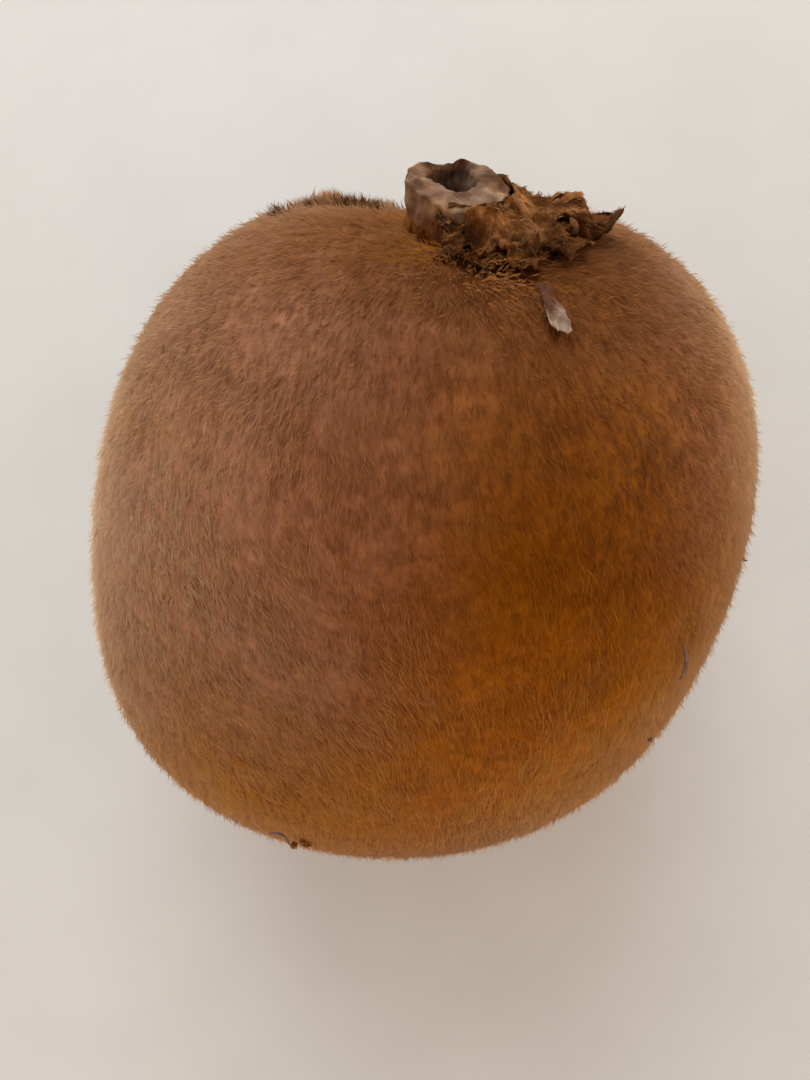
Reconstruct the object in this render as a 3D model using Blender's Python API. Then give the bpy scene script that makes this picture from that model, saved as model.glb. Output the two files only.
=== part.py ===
"""A whole kiwi fruit, resting on a small flat spot with its stem end tipped up and back.

Metres, +Z up. The origin is the point of the table straight below the middle of the fruit.
Each piece is worked out in the fruit's own frame and hung from one empty that tips it:
the core runs along Z with the stem end at +Z, X points to the right of the fruit, and -Y
is the side that ends up facing upwards. Directions from the middle of the fruit are given
by two angles: how far they are from the stem, and how far they are turned about the core
from X.

Run it with: blender --background --python part.py
"""

import math

import bmesh
import bpy
from mathutils import Vector, noise

# The fruit's body
FRUIT_LENGTH = 0.0615
FRUIT_WIDTH = 0.0546
FRUIT_THICKNESS = 0.0510
SQUARENESS = 2.35  # 2 is an ellipsoid, and more gives fuller shoulders

# Swellings (+) and hollows (-): angle from the stem, turn about the core, height, spread
BODY_SWELLS = {
    "right_shoulder": (37, 18, 0.0026, 34),
    "left_shoulder": (31, 158, 0.0004, 30),
    "right_cheek": (91, -32, 0.0011, 34),
    "left_heel": (104, -130, 0.0024, 34),
    "stem_basin": (0, 0, -0.0015, 16),
    "notch_behind_stem": (22, 126, -0.0022, 13),
    "blossom_dimple": (180, 0, -0.0013, 10),
    "soft_underside": (155, 90, -0.0026, 36),
}
BODY_RINGS = 36
BODY_SEGMENTS = 50

# How the fruit rests
CORE_RISE = math.radians(44)  # the core's angle above the table
CORE_TURN = math.radians(12)  # how far the stem end swings from +Y towards +X
CENTRE_HEIGHT = 0.0263

TOUCHING_GAP = 0.0003  # pieces that touch keep this gap

# The woody stub of the fruit's stalk: its broken top slopes, and its pith lies off its middle
STUB_OFFSET = Vector((-0.0012, 0.0))
STUB_RADIUS = 0.0036
STUB_HEIGHT = 0.0034
STUB_SLOPE = Vector((-0.08, 0.16))
STUB_LEAN = Vector((-0.0004, 0.0001))
STUB_SEGMENTS = 28
PITH_OFFSET = Vector((-0.0009, 0.0014))
PITH_RADIUS = 0.0019
PITH_DEPTH = 0.0020

# Withered sepals, crowded to one side: turn about the stub, reach from its middle, half angle, tip lift
SEPALS = {
    "sepal_1": (8.5, 0.0108, 17.5, 0.0017),
    "sepal_2": (-21.5, 0.0093, 12.5, 0.0005),
    "sepal_3": (-47, 0.0086, 13, 0.0004),
    "sepal_4": (44, 0.0073, 18, 0.0002),
    "sepal_5": (-70.5, 0.0065, 10.5, 0.0002),
}
SEPAL_START = 0.0043  # distance of a sepal's foot from the stub's middle
SEPAL_CLIMB = 0.0016  # how far its foot climbs beside the stub
SEPAL_THICKNESS = 0.0005
SEPAL_CRUMPLE = 0.0004
SEPAL_ROWS = 12
SEPAL_COLUMNS = 8

# The dried styles in the blossom end
STYLE_BASE_RADIUS = 0.0019
STYLE_HEIGHT = 0.0024
STYLE_COUNT = 9
STYLE_SEGMENTS = 36

# A pale scrap of dried petal that sticks to the skin below the sepals, narrow at its start
SCRAP_START = (16.5, -55)
SCRAP_END = (24, -59)
SCRAP_WIDTH = 0.00135
SCRAP_THICKNESS = 0.0002
SCRAP_ROWS = 12
SCRAP_COLUMNS = 6

# A dried, curled fibre near the blossom end, which ends in a crumb: two angles, height, thickness
CURL_STOPS = (
    (110, -102.5, 0.0009, 0.00025),
    (107, -101, 0.0012, 0.00030),
    (107, -99.8, 0.0012, 0.00030),
    (109.5, -99.2, 0.0011, 0.00030),
    (113.5, -98.8, 0.0010, 0.00034),
    (116, -98.4, 0.0009, 0.00070),
    (117.2, -97.4, 0.0008, 0.00080),
    (117.6, -96.0, 0.0007, 0.00050),
)


def direction(from_stem, turn):
    """Unit vector for two angles in degrees, in the fruit's own frame."""
    polar = math.radians(from_stem)
    azimuth = math.radians(turn)
    return Vector((math.sin(polar) * math.cos(azimuth), math.sin(polar) * math.sin(azimuth), math.cos(polar)))


def body_radius(way):
    """Distance from the middle of the fruit to its skin along a unit vector."""
    across = math.hypot(2 * way.x / FRUIT_WIDTH, 2 * way.y / FRUIT_THICKNESS)
    along = abs(2 * way.z / FRUIT_LENGTH)
    radius = (across**SQUARENESS + along**SQUARENESS) ** (-1 / SQUARENESS)
    for from_stem, turn, height, spread in BODY_SWELLS.values():
        away = way.angle(direction(from_stem, turn), 0.0)
        radius += height * math.exp(-((away / math.radians(spread)) ** 2))
    return radius


def skin_point(way, lift=0.0):
    """Point at a height above the skin, in the fruit's own frame."""
    return way * (body_radius(way) + lift)


def skin_point_above(x, y, lift=0.0):
    """Point above the skin of the stem end, over x, y measured across the core."""
    height = 0.5 * FRUIT_LENGTH
    for _ in range(5):
        way = Vector((x, y, height)).normalized()
        height = math.sqrt(body_radius(way) ** 2 - x**2 - y**2)
    return skin_point(way, lift)


def material(name, colour, roughness):
    """Principled material with the piece's colour."""
    made = bpy.data.materials.new(name)
    made.use_nodes = True
    shader = made.node_tree.nodes["Principled BSDF"]
    shader.inputs["Base Color"].default_value = (*colour, 1.0)
    shader.inputs["Roughness"].default_value = roughness
    shader.inputs["Metallic"].default_value = 0.0
    return made


def add_object(name, mesh_builder, made_material, parent):
    """Turn a bmesh into a smooth-shaded object under the fruit's empty."""
    mesh = bpy.data.meshes.new(name)
    bmesh.ops.recalc_face_normals(mesh_builder, faces=mesh_builder.faces)
    mesh_builder.to_mesh(mesh)
    mesh_builder.free()
    mesh.shade_smooth()
    mesh.set_sharp_from_angle(angle=math.radians(50))
    mesh.materials.append(made_material)
    piece = bpy.data.objects.new(name, mesh)
    bpy.context.collection.objects.link(piece)
    piece.parent = parent
    return piece


def bridge(builder, lower, upper):
    """Faces between two closed rings that have equally many vertices."""
    count = len(lower)
    for i in range(count):
        j = (i + 1) % count
        builder.faces.new((lower[i], lower[j], upper[j], upper[i]))


def fan(builder, ring, tip):
    """Triangles from a closed ring to one vertex."""
    count = len(ring)
    for i in range(count):
        builder.faces.new((ring[i], ring[(i + 1) % count], tip))


def build_fruit(frame):
    """The body: one closed skin of rings about the core, cut flat where it rests."""
    builder = bmesh.new()
    stem_tip = builder.verts.new(skin_point(Vector((0, 0, 1))))
    rings = []
    for i in range(1, BODY_RINGS):
        from_stem = 180 * i / BODY_RINGS
        turns = [360 * j / BODY_SEGMENTS for j in range(BODY_SEGMENTS)]
        rings.append([builder.verts.new(skin_point(direction(from_stem, turn))) for turn in turns])
    blossom_tip = builder.verts.new(skin_point(Vector((0, 0, -1))))
    fan(builder, rings[0], stem_tip)
    for upper, lower in zip(rings, rings[1:]):
        bridge(builder, lower, upper)
    fan(builder, rings[-1], blossom_tip)

    to_fruit = frame.matrix_world.inverted()
    table_normal = to_fruit.to_3x3() @ Vector((0, 0, 1))
    everything = builder.verts[:] + builder.edges[:] + builder.faces[:]
    cut = bmesh.ops.bisect_plane(
        builder, geom=everything, dist=1e-7,
        plane_co=to_fruit @ Vector(), plane_no=table_normal, clear_inner=True,
    )
    rim = [item for item in cut["geom_cut"] if isinstance(item, bmesh.types.BMEdge)]
    bmesh.ops.contextual_create(builder, geom=rim)
    return add_object("fruit", builder, material("kiwi_skin", (0.19, 0.085, 0.03), 0.85), frame)


def build_stub(frame):
    """The stalk's stub: a short cylinder with a broken sloping top and a sunken, hollow pith."""
    builder = bmesh.new()

    def raggedness(turn, level):
        return noise.noise(Vector((2.2 * math.cos(turn), 2.2 * math.sin(turn), 3 * level)))

    def ring(middle, radius, level, rough):
        made = []
        for j in range(STUB_SEGMENTS):
            turn = 2 * math.pi * j / STUB_SEGMENTS
            reach = radius * (1 + rough * raggedness(turn, level))
            spot = STUB_OFFSET + middle + reach * Vector((math.cos(turn), math.sin(turn)))
            rise = STUB_HEIGHT * level * (1 + rough * raggedness(turn + 1, 2 * level))
            rise += STUB_SLOPE.dot(spot - STUB_OFFSET) * level
            foot = skin_point_above(spot.x, spot.y, TOUCHING_GAP)
            made.append(builder.verts.new(foot + Vector((0, 0, rise))))
        return made

    rings = [
        ring(Vector((0, 0)), STUB_RADIUS * 1.05, 0.0, 0.05),
        ring(STUB_LEAN * 0.5, STUB_RADIUS * 0.98, 0.5, 0.12),
        ring(STUB_LEAN, STUB_RADIUS * 1.02, 1.0, 0.16),
        ring(0.3 * PITH_OFFSET + 0.7 * STUB_LEAN, STUB_RADIUS * 0.84, 1.05, 0.12),
        ring(PITH_OFFSET, PITH_RADIUS, 0.98, 0.10),
        ring(PITH_OFFSET, PITH_RADIUS * 0.85, 0.98 - 0.5 * PITH_DEPTH / STUB_HEIGHT, 0.10),
        ring(PITH_OFFSET, PITH_RADIUS * 0.65, 0.98 - PITH_DEPTH / STUB_HEIGHT, 0.10),
    ]
    foot_middle = builder.verts.new(skin_point_above(STUB_OFFSET.x, STUB_OFFSET.y, TOUCHING_GAP))
    floor_middle = builder.verts.new(sum((v.co for v in rings[-1]), Vector()) / STUB_SEGMENTS)
    fan(builder, rings[0], foot_middle)
    for lower, upper in zip(rings, rings[1:]):
        bridge(builder, lower, upper)
    fan(builder, rings[-1], floor_middle)
    return add_object("stem_stub", builder, material("dry_wood", (0.24, 0.16, 0.11), 0.9), frame)


def plate(builder, top, bottom):
    """Closed thin plate from two equal grids of vertices."""
    rows = len(top)
    columns = len(top[0])
    for i in range(rows - 1):
        for j in range(columns - 1):
            builder.faces.new((top[i][j], top[i + 1][j], top[i + 1][j + 1], top[i][j + 1]))
            builder.faces.new((bottom[i][j], bottom[i][j + 1], bottom[i + 1][j + 1], bottom[i + 1][j]))
    edge = [(i, 0) for i in range(rows)]
    edge += [(rows - 1, j) for j in range(1, columns)]
    edge += [(i, columns - 1) for i in range(rows - 2, -1, -1)]
    edge += [(0, j) for j in range(columns - 2, 0, -1)]
    for (i, j), (k, m) in zip(edge, edge[1:] + edge[:1]):
        builder.faces.new((top[i][j], bottom[i][j], bottom[k][m], top[k][m]))


def build_sepal(name, frame, brown):
    """One withered sepal: a crumpled plate that fans out from the stub's foot and follows the skin."""
    turn, reach, half_angle, tip_lift = SEPALS[name]
    builder = bmesh.new()
    top = []
    bottom = []
    for i in range(SEPAL_ROWS):
        along = i / (SEPAL_ROWS - 1)
        narrowing = 1.05 - 0.40 * along**2.4
        top.append([])
        bottom.append([])
        for j in range(SEPAL_COLUMNS):
            across = 2 * j / (SEPAL_COLUMNS - 1) - 1
            distance = SEPAL_START + (reach - SEPAL_START) * along * (1 - 0.22 * across**2 * along)
            opening = min(1.0, narrowing) * math.radians(half_angle) - 0.6 * TOUCHING_GAP / distance
            angle = math.radians(turn) + opening * across
            spot = STUB_OFFSET + distance * Vector((math.cos(angle), math.sin(angle)))
            crumple = SEPAL_CRUMPLE * (1 + noise.noise(Vector((spot.x, spot.y, turn)) * 900))
            lift = TOUCHING_GAP + crumple + SEPAL_CLIMB * (1 - along) ** 3
            lift += tip_lift * along**8 * (1 - across**2)
            bottom[-1].append(builder.verts.new(skin_point_above(spot.x, spot.y, lift)))
            top[-1].append(builder.verts.new(skin_point_above(spot.x, spot.y, lift + SEPAL_THICKNESS)))
    plate(builder, top, bottom)
    return add_object(name, builder, brown, frame)


def build_style_tuft(frame):
    """The dried styles: a low ribbed tuft standing out of the blossom dimple."""
    builder = bmesh.new()
    levels = ((1.0, 0.0), (0.85, 0.35), (0.95, 0.75), (0.55, 1.0))
    rings = []
    for reach, height in levels:
        rings.append([])
        for j in range(STYLE_SEGMENTS):
            turn = 2 * math.pi * j / STYLE_SEGMENTS
            rib = 1 + (0.1 + 0.25 * height) * math.cos(STYLE_COUNT * turn)
            radius = STYLE_BASE_RADIUS * reach * rib
            way = Vector((radius * math.cos(turn), radius * math.sin(turn), -0.5 * FRUIT_LENGTH)).normalized()
            foot = skin_point(way, TOUCHING_GAP)
            rings[-1].append(builder.verts.new(foot - Vector((0, 0, STYLE_HEIGHT * height))))
    foot_middle = builder.verts.new(skin_point(Vector((0, 0, -1)), TOUCHING_GAP))
    crown = builder.verts.new(skin_point(Vector((0, 0, -1)), 0.7 * STYLE_HEIGHT))
    fan(builder, rings[0], foot_middle)
    for lower, upper in zip(rings, rings[1:]):
        bridge(builder, lower, upper)
    fan(builder, rings[-1], crown)
    return add_object("style_tuft", builder, material("dry_styles", (0.05, 0.03, 0.02), 0.9), frame)


def build_petal_scrap(frame):
    """A pale papery scrap: a small curved plate on the skin, narrow at its start and wide at its end."""
    builder = bmesh.new()
    start = skin_point(direction(*SCRAP_START))
    end = skin_point(direction(*SCRAP_END))
    aside = (start + end).cross(end - start).normalized()
    top = []
    bottom = []
    for i in range(SCRAP_ROWS):
        along = i / (SCRAP_ROWS - 1)
        half_width = SCRAP_WIDTH * (0.18 + 0.30 * math.sin(2.2 * along**1.2) ** 2)
        top.append([])
        bottom.append([])
        for j in range(SCRAP_COLUMNS):
            across = 2 * j / (SCRAP_COLUMNS - 1) - 1
            way = (start.lerp(end, along) + aside * (half_width * across)).normalized()
            lift = TOUCHING_GAP + 0.0004 * across**2 * along + 0.0002 * along**2
            bottom[-1].append(builder.verts.new(skin_point(way, lift)))
            top[-1].append(builder.verts.new(skin_point(way, lift + SCRAP_THICKNESS)))
    plate(builder, top, bottom)
    return add_object("petal_scrap", builder, material("pale_petal", (0.42, 0.33, 0.29), 0.8), frame)


def build_dried_curl(frame):
    """A dried curled fibre with a crumb at its end: a tube of changing thickness over the skin."""
    curve = bpy.data.curves.new("dried_curl", "CURVE")
    curve.dimensions = "3D"
    curve.bevel_depth = 0.0005
    curve.bevel_resolution = 2
    curve.use_fill_caps = True
    curve.resolution_u = 5
    spline = curve.splines.new("BEZIER")
    spline.bezier_points.add(len(CURL_STOPS) - 1)
    for point, (from_stem, turn, lift, thickness) in zip(spline.bezier_points, CURL_STOPS):
        point.co = skin_point(direction(from_stem, turn), lift)
        point.radius = 0.5 * thickness / curve.bevel_depth
        point.handle_left_type = "AUTO"
        point.handle_right_type = "AUTO"
    curve.materials.append(material("dry_fibre", (0.06, 0.035, 0.025), 0.9))
    piece = bpy.data.objects.new("dried_curl", curve)
    bpy.context.collection.objects.link(piece)
    piece.parent = frame
    return piece


def main():
    for old in list(bpy.data.objects):
        bpy.data.objects.remove(old, do_unlink=True)
    frame = bpy.data.objects.new("fruit_frame", None)
    bpy.context.collection.objects.link(frame)
    frame.location = (0, 0, CENTRE_HEIGHT)
    frame.rotation_euler = (CORE_RISE - math.radians(90), 0, -CORE_TURN)
    bpy.context.view_layer.update()

    build_fruit(frame)
    build_stub(frame)
    brown = material("withered_sepal", (0.11, 0.06, 0.03), 0.9)
    for name in SEPALS:
        build_sepal(name, frame, brown)
    build_style_tuft(frame)
    build_petal_scrap(frame)
    build_dried_curl(frame)
    bpy.context.view_layer.update()


main()
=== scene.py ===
"""The looks of the kiwi fruit: its skin, fuzz, stalk stub, withered sepals and dried flower parts.

Metres, +Z up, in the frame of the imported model. The fruit's own frame is the part's: the core runs
along Z with the stem end at +Z, X points to the right of the fruit, and -Y is its upper side.
A spot on the fruit is two angles: away from the stem, and turned about the core from X.
"""

import math

import bpy
import numpy as np
from mathutils import Euler, Matrix, Vector, noise


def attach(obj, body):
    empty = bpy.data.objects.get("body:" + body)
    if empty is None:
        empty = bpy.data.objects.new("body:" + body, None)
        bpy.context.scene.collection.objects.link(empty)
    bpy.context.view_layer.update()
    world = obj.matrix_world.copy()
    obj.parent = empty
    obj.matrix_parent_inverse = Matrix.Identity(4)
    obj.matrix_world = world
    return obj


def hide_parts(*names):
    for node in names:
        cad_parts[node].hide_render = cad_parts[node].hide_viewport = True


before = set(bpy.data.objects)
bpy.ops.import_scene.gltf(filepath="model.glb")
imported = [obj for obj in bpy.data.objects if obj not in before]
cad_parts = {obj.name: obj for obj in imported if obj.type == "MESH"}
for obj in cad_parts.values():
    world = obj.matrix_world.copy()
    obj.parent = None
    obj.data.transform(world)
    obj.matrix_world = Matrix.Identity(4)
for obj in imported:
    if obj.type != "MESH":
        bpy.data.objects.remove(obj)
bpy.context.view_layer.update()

MM = 0.001

# The fruit's body, as in the part
FRUIT_LENGTH = 61.5 * MM
FRUIT_WIDTH = 54.6 * MM
FRUIT_THICKNESS = 51.0 * MM
SQUARENESS = 2.35
BODY_SWELLS = (
    # angle from the stem, turn about the core, height in mm, spread
    (37, 18, 2.6, 34),
    (31, 158, 0.4, 30),
    (91, -32, 1.1, 34),
    (104, -130, 2.4, 34),
    (0, 0, -1.5, 16),
    (22, 126, -2.2, 13),
    (180, 0, -1.3, 10),
    (155, 90, -2.6, 36),
)
CORE_RISE = math.radians(44)
CORE_TURN = math.radians(12)
CENTRE = Vector((0, 0, 26.3 * MM))
POSE_TURN = np.array(Euler((CORE_RISE - math.radians(90), 0, -CORE_TURN)).to_matrix())

# The camera, the window's light, the room's light and the table
CAMERA_RISE = math.radians(87)
CAMERA_DISTANCE = 78.2 * MM
CAMERA_LENS = 27.07
CAMERA_ASIDE = -0.3 * MM
CAMERA_UP = 0.2 * MM
WINDOW_PLACE = (-0.09, 0.50, 0.36)
WINDOW_AIM = (0, 0, 0.02)
WINDOW_SIZE = 0.42
WINDOW_POWER = 1.9
WINDOW_COLOUR = (0.80, 0.95, 1.0)
ROOM_BRIGHT_WAY = (-0.68, 0.66, 0.30)
ROOM_STRENGTH = 2.7
TABLE_REACH = 5.0
TABLE_DROP = 0.02 * MM

# The stalk stub, as in the part: its broken top slopes, and its pith lies off its middle
STUB_OFFSET = np.array([-1.2, 0.0]) * MM
STUB_RADIUS = 3.6 * MM
STUB_HEIGHT = 3.4 * MM
STUB_SLOPE = np.array([-0.08, 0.16])
STUB_LEAN = np.array([-0.4, 0.1]) * MM
PITH_OFFSET = np.array([-0.9, 1.4]) * MM
PITH_RADIUS = 1.9 * MM
PITH_DEPTH = 2.0 * MM
STUB_FOOT_LEVEL = 29.9 * MM  # above the fruit's middle, along the core
STUB_RIM_LEVEL = 33.1 * MM

# Withered sepals, much as in the part: turn about the stub, half angle, start, length, tip lift, hump (mm)
SEPALS = {
    "sepal_1": (7, 19, 3.4, 7.4, 1.75, 0.8),
    "sepal_2": (-20, 14, 3.4, 5.9, 0.4, 0.2),
    "sepal_3": (-47, 13, 3.6, 5.0, 0.3, 0.1),
    "sepal_4": (44, 18, 3.4, 3.9, 0.2, 0.2),
    "sepal_5": (-70, 11, 4.2, 2.3, 0.2, 0.0),
}
SEPAL_THICKNESS = 0.32 * MM
SEPAL_CLIMB = 2.4 * MM  # how far each one climbs the stub at its start
CALYX_SHADE_MAT = (-24, 72, 2.6, 5.2, -0.2, 0.0)  # a dark sheet under them, painted shade for their gaps, in the same terms
MAT_SINK = np.array([0, 0, 0.45]) * MM

# Where the calyx is paler (+) or darker (-): spot, spread, change. Partly its own colour, partly painted
# shade in its gaps and hollows and painted light where it is lit
CALYX_PAINTED_SHADE_AND_TONE = (
    ((17, 3), 2.8, -1.0),
    ((14.5, -10), 2.4, -1.0),
    ((13.7, 19), 2.6, 1.0),
    ((6.4, -67), 1.6, 1.0),
    ((7.2, -90), 1.0, 0.7),
    ((8.7, -75), 1.2, -0.7),
    ((9.4, -91), 1.3, -0.9),
    ((11.4, -93), 1.5, -0.8),
    ((8.8, -120), 2.2, 0.9),
    ((6.3, -128), 1.5, -0.3),
    ((3.6, -120), 1.8, -0.4),
    ((2.9, 22), 1.2, 0.6),
    ((12.6, -72), 3.0, 0.5),
    ((13, -40), 2.2, -0.85),
    ((15.5, -37), 2.0, -0.5),
    ((18, -22), 2.8, -0.4),
    ((2.6, 50), 1.8, -0.8),
    ((5.5, -20), 1.6, 0.5),
    ((7, 130), 2.4, 0.5),
    ((8.6, 174), 2.6, 0.6),
)

# Things that cling to the fuzz, at spots; a third number is a height above the skin in mm
SCRAP_START = (16.5, -55)
SCRAP_END = (24, -59)
SCRAP_WIDTH = 1.35 * MM
CURL_STOPS = ((110, -102.5, 1.2), (107, -101, 1.5), (107, -100, 1.5), (109, -99.5, 1.3), (113.5, -99, 1.2))
CRUMB_SPOT = (117, -99)
FLAKE_SPOT = (117, -97)
STRAY_FIBRES = (
    ((67.5, -39.5, 0.5), (70, -39.3, 1.0), (73, -38.6, 1.0), (76, -37.2, 0.5)),
    ((56, 3, 0.6), (57.5, 5, 0.9), (59.5, 5.5, 0.6)),
)
STRAY_CRUMBS = ((90, -38, 0.26), (67, -15, 0.22), (88, -62, 0.10))  # with their sizes in mm

# Rough tufts on the left shoulder: angle from the stem, turn, spread, hairs, length, tone, warmth
PALE_TUFTS = (
    (24, 155, 0.55, 420, 1.6, 0.62, 0.66),
    (17, 143, 0.55, 260, 1.2, 0.95, 0.25),
    (20.5, 147, 0.5, 200, 1.1, 0.9, 0.0),
    (28, 160, 0.5, 120, 1.0, 0.75, 0.3),
)
DARK_TUFTS = (
    (21.5, 152, 0.6, 380, 1.3, 0.15, 0.2),
    (18.5, 147, 0.6, 260, 1.2, 0.25, 0.2),
    (26.5, 158, 0.45, 200, 1.1, 0.20, 0.3),
    (28.5, 170, 0.35, 90, 1.2, 0.15, 0.1),
)

# Middles of the regions of the fuzz
GOLDEN_FLANK = (66, -58)
GOLDEN_BELLY = (112, -92)
GOLDEN_CORNER = (93, -50)
BRIGHT_FLANK = (88, -64)
PAINTED_LIGHT_FLANK = (70, -131)
PAINTED_GLOW_SIDE = (64, 4)
STEM_END = (4, -40)
PAINTED_SHADE_MIDDLE = (48, -60)
CALYX_HEM = (12, -82)
PAINTED_GLOW_EDGE = (54, -8)
PAINTED_SHADE_BELLY = (85, -71)

# Painted glow where the fuzz is paler towards the fruit's edge: spot, spread, change
PAINTED_EDGE_GLOWS = (
    (PAINTED_GLOW_EDGE, 17, 0.42),
    ((119, -94), 15, 0.20),
    ((104, -113), 12, 0.22),
    ((77, -36), 10, 0.22),
)

# Where the fuzz turns aside from the straight way down: spot, spread in degrees, turn in radians
FUZZ_TURNS = (((82, -118), 42, 1.2), ((84, -50), 24, -0.45))

# Worn patches and furrows in the fuzz: angle from the stem, turn, reach along, across in mm, change of tone
FUZZ_MARKS = (
    (27.5, -99, 1.1, 1.2, -0.22),
    (28.0, -78, 0.9, 0.8, -0.24),
    (32.0, -83, 0.9, 0.8, -0.22),
    (43.0, -91, 1.0, 1.0, -0.22),
    (19.0, -128, 0.9, 0.9, -0.16),
    (54.0, -101, 2.0, 0.6, -0.20),
    (65.5, -93, 2.6, 0.6, -0.20),
    (36.5, -93, 1.0, 0.9, 0.16),
    (52.5, -59, 1.0, 0.8, 0.16),
)

# Colour of the skin between the hairs, and of regions: spot, cosines of the outer and inner limit, colour.
# The pale side and right edge are a painted glow, the pale flank is painted light, and the golden regions
# are partly painted shade
SKIN_BROWN = (0.24, 0.094, 0.050, 1)
SKIN_REGIONS = (
    (GOLDEN_FLANK, 0.55, 0.97, (0.26, 0.078, 0.001, 1)),
    (GOLDEN_BELLY, 0.70, 0.99, (0.28, 0.088, 0.002, 1)),
    (GOLDEN_CORNER, 0.80, 0.99, (0.28, 0.084, 0.002, 1)),
    (PAINTED_LIGHT_FLANK, 0.58, 0.98, (0.35, 0.148, 0.084, 1)),
    (PAINTED_GLOW_SIDE, 0.70, 0.98, (0.38, 0.175, 0.100, 1)),
    (PAINTED_GLOW_EDGE, 0.93, 0.99, (0.42, 0.20, 0.12, 1)),
    (BRIGHT_FLANK, 0.80, 1.00, (0.38, 0.115, 0.001, 1)),
    (STEM_END, 0.88, 0.98, (0.18, 0.060, 0.016, 1)),
)

SHEEN_TINT = (1.0, 0.66, 0.40, 1)
# Tints for the paler and darker calyx spots, partly painted light and shade
PALER_TINT = (1.8, 1.85, 1.8, 1)
DARKER_TINT = (0.50, 0.40, 0.28, 1)
WHITE = (1, 1, 1, 1)

# Dry plant stuff: patches per metre, then the dark, middle and light colour
DRY_LOOKS = {
    # the pith's dark colours are partly painted shade in its hollow
    "sunken_pith": (900, (0.042, 0.020, 0.011), (0.11, 0.060, 0.035), (0.25, 0.151, 0.095)),
    # near black: painted shade in the gaps under the sepals
    "painted_shade_fibres": (1400, (0.014, 0.004, 0.001), (0.050, 0.015, 0.003), (0.14, 0.050, 0.012)),
    "dry_style": (700, (0.025, 0.014, 0.010), (0.065, 0.036, 0.024), (0.14, 0.085, 0.055)),
    "grey_fibre": (900, (0.08, 0.045, 0.038), (0.13, 0.085, 0.068), (0.22, 0.15, 0.12)),
    "mauve_fibre": (900, (0.13, 0.070, 0.050), (0.21, 0.12, 0.090), (0.33, 0.20, 0.15)),
    "brown_crumb": (1100, (0.11, 0.028, 0.008), (0.20, 0.070, 0.020), (0.42, 0.19, 0.060)),
}

# Hairs: their sizes, shares, shape and tones, and how many there are of each kind
FUZZ_LENGTH = 0.95 * MM
FUZZ_WIDTH = 0.050 * MM
FUZZ_CLUMP = 1.2 * MM
ROOT_DEPTH = 0.05 * MM
GUARD_SHARE = 0.30  # finer, paler hairs that stand up more
UPRIGHT_SHARE = 0.20  # thin, pale hairs that stand well up; their paler tone is partly a painted glow at the fruit's edge
HAIR_ROUNDNESS = 0.28
HAIR_FACES = np.array(((0, 2, 1), (0, 1, 3), (0, 3, 2), (1, 2, 3)))
HAIR_TONES = (0.0, 0.35, 0.7, 1.0)
HAIR_COUNT = 183000
SEPAL_DOWN = 3.6  # per mm of a sepal's start, mm of its length and degree of its half angle
STUB_DOWN = 7000
MAT_DOWN = 9000
CALYX_FIBRES = 60
STYLE_STRANDS = 34

# How fine the meshes are
SKIN_RINGS = 150
SKIN_SEGMENTS = 230
STUB_SEGMENTS = 120
FUZZ_PIECES = ("fuzz_stem_end", "fuzz_shoulder", "fuzz_middle", "fuzz_flank", "fuzz_blossom_end")


# -------- shape of the body

def stacked(x, y, z):
    """Vectors from arrays or numbers for X, Y and Z."""
    return np.stack(np.broadcast_arrays(x, y, z), axis=-1)


def directions(from_stem, turn):
    """Unit vectors for arrays of two angles in radians, in the fruit's own frame."""
    return stacked(np.sin(from_stem) * np.cos(turn), np.sin(from_stem) * np.sin(turn), np.cos(from_stem))


def direction(from_stem, turn):
    """Unit vector for two angles in degrees."""
    return directions(math.radians(from_stem), math.radians(turn))


def body_radius(ways):
    """Distance from the middle of the fruit to its skin along unit vectors."""
    across = np.hypot(2 * ways[..., 0] / FRUIT_WIDTH, 2 * ways[..., 1] / FRUIT_THICKNESS)
    along = np.abs(2 * ways[..., 2] / FRUIT_LENGTH)
    radius = (across**SQUARENESS + along**SQUARENESS) ** (-1 / SQUARENESS)
    for from_stem, turn, height, spread in BODY_SWELLS:
        radius += height * MM * nearness(ways, (from_stem, turn), spread)
    return radius


def nearness(ways, spot, spread):
    """How near unit vectors are to a spot of two angles: 1 on it, less over the spread in degrees."""
    away = np.arccos(np.clip(ways @ direction(*spot), -1, 1))
    return np.exp(-((away / math.radians(spread)) ** 2))


def unit(vectors):
    """Vectors of length 1 with the same directions."""
    return vectors / np.linalg.norm(vectors, axis=-1, keepdims=True)


def raised(spots, height):
    """Vectors from spots across the core and heights along it."""
    return stacked(spots[..., 0], spots[..., 1], height)


def turned(one, other, angle):
    """Vectors turned by angles from one vector towards another at right angles to it."""
    return one * np.cos(angle)[:, None] + other * np.sin(angle)[:, None]


def skin_points(ways, lift=0.0):
    """Points at a lift in metres above the skin, along unit vectors."""
    return ways * (body_radius(ways) + lift)[..., None]


def skin_frames(ways):
    """Skin points with their outward normals and their downhill tangents, away from the stem."""
    step = 1e-3
    aside = unit(np.cross([0.0, 0.0, 1.0], ways))
    downhill = np.cross(aside, ways)
    points = skin_points(ways)
    along_down = skin_points(unit(ways + step * downhill)) - points
    along_aside = skin_points(unit(ways + step * aside)) - points
    normals = unit(np.cross(along_down, along_aside))
    return points, normals, unit(along_down)


def on_skin(from_stem, turn, lift=0.0):
    """One point at a lift in metres above the skin, for two angles in degrees."""
    return skin_points(direction(from_stem, turn), lift)


def above_stem_end(spot, lift):
    """Points at heights above the skin of the stem end, over spots measured across the core."""
    height = 0.5 * FRUIT_LENGTH
    for _ in range(5):
        ways = unit(raised(spot, height))
        height = np.sqrt(np.maximum(body_radius(ways) ** 2 - (spot**2).sum(-1), 0))
    return skin_points(ways, lift)


def posed(points):
    """From the fruit's own frame to where the fruit rests."""
    return points @ POSE_TURN.T + np.array(CENTRE)


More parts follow.
